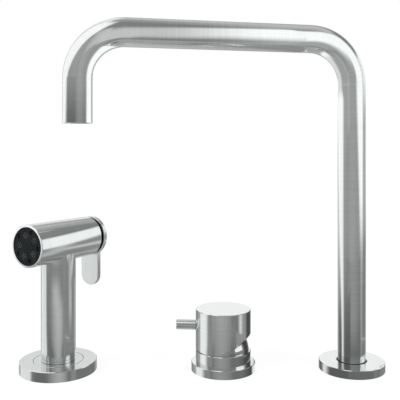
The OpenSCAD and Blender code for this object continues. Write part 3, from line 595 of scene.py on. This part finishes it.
# Each cloth or card: from and to in degrees round the set, lower and upper edge, blur, brightness.
# A later row covers an earlier one.
CLOTHS = {
    "lit wall behind": (93, 300, -5, 27, 6, 1.10),
    "wall behind the spray": (188, 206, 8, 27, 5, 0.87),
    "wall, upper left": (192, 300, 24, 74, 6, 1.05),
    "dark card at the right": (97, 146, -25, -6, 5, 0.28),
    "its upper edge": (94, 140, -7, 6, 4, 0.50),
    "dark card above it": (88, 152, 28, 51, 6, 0.29),
    "its far side": (150, 168, 36, 50, 6, 0.45),
    "foot of the wall": (148, 300, -27, -1, 5, 0.55),
    "dark gap behind": (165, 205, -20, 4, 8, 0.45),
    "sheet on the table": (7, 40, -34, -19, 5, 0.76),
    "strip beside the lamp": (62, 84, -18, -9, 5, 0.44),
}
print(len(CLOTHS), "cloths and cards in the tent")


# %% What is painted on the tent
LEFT_CLOTH = 1.26
LAMP_CLOTH = 1.30


def worktop_light(az):
    """The worktop's brightness, which changes in steps round the set."""
    light = 0.38 + az.rise(5, 12) * 0.10 - az.rise(118, 130) * 0.05 + az.rise(148, 156) * 0.08
    return light + az.rise(165, 200) * 0.26 + az.fall(-122, -98) * 0.4


def on_left_cloth(az, el):
    """1 on the large cloth at the left, which leans over the set."""
    edge = (el.most(2) * 1.75 - 98 + el.rise(0, 10) * 10).least(-10) + el.fall(-18, -6) * 13
    return az.rise(-134, -124) * (az - edge).fall(-9, 9) * el.rise(-28, -24) * el.fall(74, 84)


def on_lamp_cloth(az, el):
    """1 on the lamp's cloth at the front right, which has a slanting lower corner."""
    edge = (10 - el).most(0) * 2.2 + 21
    return (az - edge).rise(-8, 8) * az.fall(80, 94) * el.rise(-11, -4) * el.fall(44, 53)


def tent_light(sheet):
    """Brightness by direction: az is 0 towards the camera and grows to the right, el is up."""
    x, y, z = local_axes(sheet, TENT_MIDDLE, 0)
    degrees = 180 / math.pi
    az = (x.angle(y * -1) * degrees).wrap(-135, 225)
    el = z.angle((x * x + y * y).root()) * degrees
    # the room in front, brightest a little left of the camera, and its ceiling
    bell = abs(az + 9).fall(0, 58)
    light = (0.21 + bell * 0.20).towards(0.38 + bell * 0.06, el.rise(-13, -8))
    light = light.towards(0.27 + az.rise(20, 100) * 0.38, el.rise(28, 44))
    light = light.towards(0.38, el.rise(68, 84))
    for left, right, lower, upper, blur, brightness in CLOTHS.values():
        share = az.band(left, right, blur) * el.band(lower, upper, blur / 2)
        light = light.towards(brightness, share)
    light = light.towards(worktop_light(az), el.fall(-29, -22))
    light = light.towards(LEFT_CLOTH, on_left_cloth(az, el))
    return light.towards(LAMP_CLOTH, on_lamp_cloth(az, el))


print("the tent's light is worked out by direction")


# %% The ball
def for_mirrors_only(piece):
    """Hides a piece from everything but mirroring surfaces."""
    piece.visible_camera = piece.visible_diffuse = False
    piece.visible_shadow = piece.visible_transmission = False


bpy.ops.mesh.primitive_uv_sphere_add(segments=64, ring_count=32, radius=TENT_RADIUS,
                                     location=(0, 0, 0))
tent = bpy.context.object
tent.name = "light_tent"
tent.data.transform(Matrix.Translation(TENT_MIDDLE))
material = bpy.data.materials.new("tent_cloths")
material.cycles.emission_sampling = "NONE"
sheet = Sheet(material)
sheet.end(sheet.glow(tent_light(sheet)))
tent.data.materials.append(material)
for_mirrors_only(tent)
print("tent done")

# %% [markdown]
# ## Small cards close by
# Each unit was lit by itself, so none of them mirrors its neighbours. Cards that stand between
# the units keep the neighbours out, as a photographer would clamp them to stands outside the
# picture. Their tones change with the place on the card, and the edges between tones draw the
# bright and dark lines along the turned steel.


# %% One card
def card(name, place, width, height, light):
    """A small glowing card that only mirroring surfaces see. Its light is a brightness, or a
    function that gives one for a place x, y, z of the scene, in metres."""
    bpy.ops.mesh.primitive_grid_add(x_subdivisions=4, y_subdivisions=4, size=1, location=(0, 0, 0))
    piece = bpy.context.object
    piece.name = name
    piece.data.transform(place @ Matrix.Diagonal((width, height, 1, 1)))
    material = bpy.data.materials.new(name)
    material.cycles.emission_sampling = "NONE"
    sheet = Sheet(material)
    strength = light(*local_axes(sheet, (0, 0, 0), 0)) if callable(light) else light
    sheet.end(sheet.glow(strength))
    piece.data.materials.append(material)
    for_mirrors_only(piece)


def upright(x, y, z, degrees):
    """Standing at a place. At 0 degrees the card looks to the front, at 90 to the side."""
    turn = Matrix.Rotation(math.radians(degrees), 4, "Z") @ Matrix.Rotation(math.radians(90), 4, "X")
    return Matrix.Translation((x, y, z)) @ turn


def sloping(x, y, z, degrees):
    """Lying at a place, its right side lowered."""
    return Matrix.Translation((x, y, z)) @ Matrix.Rotation(math.radians(degrees), 4, "Y")


print("cards can be made")

# %% [markdown]
# Between the spray and the mixer two cards stand back to back, 2 mm apart, because the two
# units look at them from the two sides and need different tones. This is the spray's side. The
# stem mirrors greys, and the head mirrors the white above a sloping edge.


# %% Right of the spray
def right_of_spray(x, y, z):
    """Greys beside the stem, and over a sloping edge the white that the head mirrors."""
    light = 0.22 + z.rise(-0.01, 0.003) * 0.07 + y.rise(0.04, 0.08) * 0.18
    light = light.towards(0.60, y.band(-0.014, 0.012, 0.010) * z.rise(0.01, 0.05))
    up = z - y * 0.5
    sheen = 0.33 + up.band(0.0675, 0.0835, 0.005) * 0.38
    light = light.towards(sheen, y.rise(-0.005, 0.015) * z.rise(0.058, 0.066))
    white = 1.17 - z.rise(0.149, 0.163) * 0.92
    return light.towards(white, up.rise(0.099, 0.1115) * y.rise(-0.035, -0.026))


card("divider_spray", upright(-0.196, 0.025, 0.060, 90), 0.15, 0.22, right_of_spray)
print("the spray has its card")

# %% [markdown]
# The mixer has a card at each side. The one at its right is made of three parts that leave a
# slot. Through it the dome sees a bright window on the card by the leg, further on.


# %% Left and right of the mixer
def left_of_mixer(x, y, z):
    """From the front: grey, a white band, and darker greys behind it."""
    front = y - z.fall(-0.010, 0.015) * 0.006
    light = 0.31 + front.rise(-0.053, -0.026) * 0.78
    return light.towards(0.42, y.rise(0.002, 0.020)).towards(0.20, y.rise(0.030, 0.090))


def right_of_mixer(x, y, z):
    """The cap's part, with a light strip near its front, and below it the flange's part."""
    cap = 0.25 + y.rise(-0.030, -0.020) * 0.11 - y.rise(-0.014, -0.006) * 0.27
    cap = cap + y.rise(0.006, 0.030) * 0.38
    strip = y.rise(-0.037, -0.027) * y.fall(-0.027, -0.018) * z.rise(0.026, 0.030)
    ring = 0.20 - y.rise(-0.035, -0.008) * 0.12 + y.rise(0.008, 0.030) * 0.44
    ring = ring.towards(1.0, y.rise(-0.010, -0.003) * z.fall(0.002, 0.005))
    return cap.towards(0.85, strip).towards(ring, z.fall(0.008, 0.013))


card("divider_mixer_left", upright(-0.194, 0.005, 0.0175, 90), 0.19, 0.135, left_of_mixer)
card("divider_ring", upright(-0.080, 0.005, -0.018, 90), 0.19, 0.063, right_of_mixer)
card("divider_cap", upright(-0.080, 0.005, 0.0465, 90), 0.19, 0.032, right_of_mixer)
card("divider_dome", upright(-0.080, 0.044, 0.02175, 90), 0.112, 0.0175, right_of_mixer)
print("the mixer has its cards")

# %% [markdown]
# Left of the spout's leg, two more cards stand back to back. One holds the dome's window and
# the other draws the leg's bright line. Each is a tall card and a low one in front of it.


# %% The dome's window and the leg's line
def dome_window(x, y, z):
    """A bright window on grey, which the dome mirrors."""
    return 0.35 + y.band(-0.076, -0.013, 0.003) * z.band(0.0188, 0.050, 0.0008) * 1.15


def left_of_spout(x, y, z):
    """From the front: dark, the leg's white band, and a grey that grows lighter upwards."""
    plain = 0.14 + z.rise(0.0, 0.13) * 0.26 + z.rise(0.15, 0.24) * 0.06
    white = 1.08 + z.rise(0.02, 0.12) * 0.11 + z.rise(0.12, 0.20) * 0.08
    behind = 0.16 + z.rise(0.02, 0.13) * 0.60 + y.rise(0.01, 0.05) * z.fall(0.04, 0.10) * 0.3
    front = y + z.fall(0.03, 0.12) * 0.002 - z.rise(0.244, 0.260) * 0.009
    light = plain.towards(white - z.rise(0.246, 0.258) * 0.35, front.rise(-0.0155, -0.003))
    return light.towards(behind, (y - z * z * 1.5).rise(-0.008, 0.003))


back_to_back = {"dome_window": (-0.037, dome_window), "divider_spout": (-0.035, left_of_spout)}
for name, (x, light) in back_to_back.items():
    card(name, upright(x, 0.035, 0.106, 90), 0.13, 0.312, light)
    card(name + "_front", upright(x, -0.0545, 0.005, 90), 0.049, 0.110, light)
print("the dome and the leg have their cards")

# %% [markdown]
# The end of the spout that points down has a bright line too, from a card at its right.


# %% Right of the mouth
def right_of_mouth(x, y, z):
    """A white band between two greys, for the end of the spout that points down."""
    return 0.35 + y.rise(-0.063, -0.053) * 0.97 - y.rise(-0.032, -0.012) * 0.75


card("divider_mouth", upright(-0.205, -0.010, 0.2435, 90), 0.11, 0.057, right_of_mouth)
print("the dividers are done")

# %% [markdown]
# A low rail runs in front of the set. The flanges and the feet of the columns mirror it, each
# with its own soft light patch.


# %% Rail
def rail(x, y, z):
    """A light patch in front of each unit. The spray's leans to the left as it rises."""
    lean = z.rise(0.025, 0.065)
    width = z.rise(-0.01, 0.01) * 0.04 + 0.05 - lean * 0.03
    spray = (abs(x + 0.246 + lean * 0.024) / width).fall(0, 1)
    spray = spray * (1 - z.rise(0.056, 0.080) * 0.9) * 0.32
    mixer = abs(x + 0.132).fall(0, 0.08) * z.fall(0.046, 0.060) * 0.19
    spout = abs(x + 0.010).fall(0, 0.09) * z.rise(-0.012, 0.025) * 0.08
    return 0.18 + z.rise(-0.02, 0.045) * 0.10 + spray + mixer + spout


card("front_rail", upright(-0.115, -0.08, 0.0125, 0), 0.49, 0.145, rail)
print("the rail is done")

# %% [markdown]
# The spout's mouth has two grey flags and a card behind it, because the lamp's cloth that
# belongs in the leg would show there too.


# %% Flags at the mouth
def mouth_flag(x, y, z):
    """Dark grey, and a little lighter towards the bend."""
    return 0.18 + z.rise(0.220, 0.262) * 0.17


def lamp_flag(x, y, z):
    """The same on the lamp's side, with a faint light stripe."""
    return 0.27 + z.rise(0.220, 0.260) * 0.13 + x.band(-0.232, -0.216, 0.006) * 0.07


card("mouth_flag", upright(-0.2643, -0.0849, 0.205, -32), 0.055, 0.114, mouth_flag)
card("lamp_flag", upright(-0.2222, -0.0792, 0.2375, 44), 0.053, 0.085, lamp_flag)
card("mouth_back", upright(-0.2200, -0.012, 0.2375, 0), 0.030, 0.055, 0.42)
print("the flags are done")

# %% [markdown]
# A card along the arm draws its bright band, and a smaller one at each bend carries it on.


# %% Along the arm
def along_arm(x, y, z):
    """A white band between two slanting edges, brighter to the right."""
    plain = 0.28 + x.rise(-0.13, -0.03) * 0.24
    white = 0.72 + x.rise(-0.165, -0.06) * 0.60
    lower = z - 0.262 - x.rise(-0.17, -0.09) * 0.016 + x.fall(-0.20, -0.175) * 0.037
    upper = 0.372 + x * 0.3 - z
    return plain.towards(white, lower.rise(-0.020, 0.022) * upper.rise(-0.014, 0.014))


def left_bend(x, y, z):
    """The start of the arm, where its bright band ends."""
    return 0.50 + x.rise(-0.233, -0.206) * 0.22


def right_bend(x, y, z):
    """The lower edge of the band that runs on into the leg."""
    return 0.48 + (z - x * 0.15).rise(0.268, 0.291) * 0.84


card("along_arm", upright(-0.1165, -0.0676, 0.3075, 11), 0.180, 0.185, along_arm)
card("left_bend", upright(-0.2166, -0.0871, 0.3015, 11), 0.024, 0.041, left_bend)
card("right_bend", upright(-0.0060, -0.0500, 0.2860, 0), 0.044, 0.036, right_bend)
print("the arm has its cards")

# %% [markdown]
# Two sloping cards lie beside the feet of the leg and of the spray's stem. The tops of the
# flanges mirror them, and the columns see them edge-on, as hardly more than a line.


# %% Beside the feet
def beside_leg(x, y, z):
    """White between two greys. The leg's foot sees it in the flange's top."""
    return 0.30 + y.band(-0.024, 0.009, 0.006)


def beside_stem(x, y, z):
    """The same for the spray's stem."""
    return 0.25 + y.band(-0.032, -0.008, 0.008)


card("beside_leg", sloping(0.0435, -0.003, 0.0179, 16.4), 0.026, 0.046, beside_leg)
card("beside_stem", sloping(-0.2180, -0.008, 0.0189, 16.6), 0.024, 0.060, beside_stem)
print("the feet have their cards")

# %% [markdown]
# The trigger's tab and the rim round the spray's face are narrow and flat, and look to the
# left: a small white reflector makes them bright.


# %% Reflector
def reflector_light(x, y, z):
    """White behind an edge that comes forward at the bottom and beside the spray's head."""
    edge = y + z.fall(-0.02, 0.0) * 0.012 + z.rise(0.07, 0.09) * 0.010
    edge = edge + z.rise(0.080, 0.092) * 0.025
    return 0.30 + edge.rise(-0.062, -0.040) * (0.66 + z.rise(0.085, 0.110) * 0.28)


card("reflector", upright(-0.40, -0.01, 0.05, 90), 0.14, 0.20, reflector_light)
print("the reflector is done")

# %% [markdown]
# The pale plastics and the floor need real light, from soft lamps at a plain level. They are
# hidden from mirroring surfaces, which have the tent. The world adds a little from all round,
# and is plain white where it is seen.

# %% Lamps and world
LAMP_AIM = Vector((SET_MIDDLE, 0, 100 * MM))


def soft_lamp(name, place, size, power):
    """A square lamp that points at the set and isn't mirrored. The size is in metres."""
    lamp = bpy.data.lights.new(name, "AREA")
    lamp.shape, lamp.size, lamp.energy = "SQUARE", size, power
    holder = bpy.data.objects.new(name, lamp)
    bpy.context.scene.collection.objects.link(holder)
    holder.location = place
    holder.rotation_mode = "QUATERNION"
    holder.rotation_quaternion = (LAMP_AIM - Vector(place)).to_track_quat("-Z", "Y")
    holder.visible_camera = holder.visible_glossy = False


soft_lamp("lamp_left", (-1.5, -0.9, 1.3), 1.0, 20)
soft_lamp("lamp_right", (1.3, -0.8, 1.2), 1.0, 14)
soft_lamp("lamp_above", (-0.1, 0.3, 1.9), 1.4, 18)

world = bpy.data.worlds.new("studio")
bpy.context.scene.world = world
sheet = Sheet(world)
around = sheet.add("ShaderNodeBackground", None, {"Color": (1, 1, 1, 1), "Strength": 0.55})
white = sheet.add("ShaderNodeBackground", None, {"Color": (1, 1, 1, 1), "Strength": 1.0})
surface = sheet.add("ShaderNodeMixShader", None, {0: ray_is_seen(sheet), 1: around, 2: white})
sheet.end(surface, "ShaderNodeOutputWorld")
bpy.context.scene.view_settings.view_transform = "Standard"
print("lamps and world done")

# %% [markdown]
# ## The camera
# The photograph looks straight ahead, from 20 cm above the worktop and a little more than half a
# metre away. The set fills the frame although the camera is hardly tilted, so the picture was
# taken with the lens moved down, which keeps the spout's leg upright. A vertical shift does the
# same.

# %% Camera
PICTURE_SIDE = 400        # pixels
FOCAL_LENGTH = 620        # pixels
SENSOR_WIDTH = 36         # millimetres
LENS_SHIFT = -0.125       # of the picture's side
EYE = (-0.143, -0.563, 0.200)
TILT = -0.15              # degrees
PAN = -0.5                # degrees

camera_data = bpy.data.cameras.new("camera")
camera_data.sensor_width = SENSOR_WIDTH
camera_data.lens = SENSOR_WIDTH * FOCAL_LENGTH / PICTURE_SIDE
camera_data.shift_y = LENS_SHIFT
camera = bpy.data.objects.new("camera", camera_data)
bpy.context.scene.collection.objects.link(camera)
camera.location = EYE
camera.rotation_euler = (math.radians(90 + TILT), 0, math.radians(PAN))
bpy.context.scene.camera = camera
print("camera at", tuple(round(v, 3) for v in camera.location))
